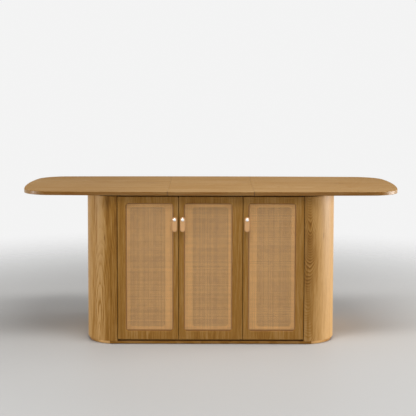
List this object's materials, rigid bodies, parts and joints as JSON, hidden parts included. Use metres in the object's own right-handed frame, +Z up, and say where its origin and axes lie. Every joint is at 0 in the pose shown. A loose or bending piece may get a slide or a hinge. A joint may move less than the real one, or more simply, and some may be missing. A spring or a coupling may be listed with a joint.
{
  "type": "kitchen table with storage cabinet",
  "caption": "Oak kitchen table with an extending bowed top on a storage cabinet with quarter-round corners, cane-panelled doors and leather tab pulls.",
  "frame": {"origin": "on the floor, under the middle of the table top", "axes": "+X along the table, the doors face -Y, +Z up"},
  "size_m": [1.906, 0.762, 0.762],
  "materials": {
    "oak": "satin lacquered oak",
    "top_oak": "satin lacquered oak",
    "plinth_oak": "satin lacquered oak",
    "inner_oak": "satin oak veneer",
    "slide_wood": "planed hardwood",
    "cane": "woven cane",
    "leather": "natural vegetable-tanned",
    "nickel": "polished nickel",
    "steel": "brushed",
    "plated": "zinc plated",
    "brass": "turned",
    "glide_plastic": "moulded"
  },
  "bodies": {
    "cabinet": {"back_guide": "slide_wood", "back_left_corner": "oak", "back_panel": "oak", "back_right_corner": "oak", "bottom_panel": "inner_oak", "catch_magnets": "plated", "deck_panel": "inner_oak", "floor_glides": "glide_plastic", "front_guide": "slide_wood", "front_left_corner": "oak", "front_right_corner": "oak", "front_top_rail": "oak", "left_end_wall": "inner_oak", "left_shelf": "inner_oak", "left_side_panel": "oak", "lower_pivots": "steel", "partition": "inner_oak", "plinth_back_rail": "plinth_oak", "plinth_cross_rails": "plinth_oak", "plinth_front_rail": "plinth_oak", "plinth_left_end": "plinth_oak", "plinth_right_end": "plinth_oak", "right_end_wall": "inner_oak", "right_shelf": "inner_oak", "right_side_panel": "oak", "shelf_pins": "plated", "upper_pivots": "steel"},
    "leaf": {"leaf_top": "top_oak", "leaf_battens": "slide_wood"},
    "left_half": {"left_top": "top_oak", "left_front_runner": "slide_wood", "left_back_runner": "slide_wood"},
    "right_half": {"right_top": "top_oak", "right_front_runner": "slide_wood", "right_back_runner": "slide_wood"},
    "left_door": {"left_door_frame": "oak", "left_door_cane": "cane", "left_door_backing": "oak", "left_pull_tab": "leather", "left_pull_stud": "nickel", "left_pull_spacer": "nickel", "left_hinge_bushes": "brass", "left_catch_strike": "steel"},
    "middle_door": {"middle_door_frame": "oak", "middle_door_cane": "cane", "middle_door_backing": "oak", "middle_pull_tab": "leather", "middle_pull_stud": "nickel", "middle_pull_spacer": "nickel", "middle_hinge_bushes": "brass", "middle_catch_strike": "steel"},
    "right_door": {"right_door_frame": "oak", "right_door_cane": "cane", "right_door_backing": "oak", "right_pull_tab": "leather", "right_pull_stud": "nickel", "right_pull_spacer": "nickel", "right_hinge_bushes": "brass", "right_catch_strike": "steel"}
  },
  "joints": [
    {"name": "left_door_hinge", "type": "hinge", "parent": "cabinet", "child": "left_door", "pos_m": [-0.4505, -0.3545, 0.38], "axis": [0, 0, -1], "range_deg": [0, 95]},
    {"name": "middle_door_hinge", "type": "hinge", "parent": "cabinet", "child": "middle_door", "pos_m": [0.1485, -0.3545, 0.38], "axis": [0, 0, 1], "range_deg": [0, 95]},
    {"name": "right_door_hinge", "type": "hinge", "parent": "cabinet", "child": "right_door", "pos_m": [0.4505, -0.3545, 0.38], "axis": [0, 0, 1], "range_deg": [0, 95]},
    {"name": "left_half_slide", "type": "slide", "parent": "cabinet", "child": "left_half", "axis": [-1, 0, 0], "range_m": [0, 0.06]},
    {"name": "right_half_slide", "type": "slide", "parent": "cabinet", "child": "right_half", "axis": [1, 0, 0], "range_m": [0, 0.06]},
    {"name": "leaf_lift", "type": "slide", "parent": "cabinet", "child": "leaf", "axis": [0, 0, 1], "range_m": [0, 0.15]}
  ]
}
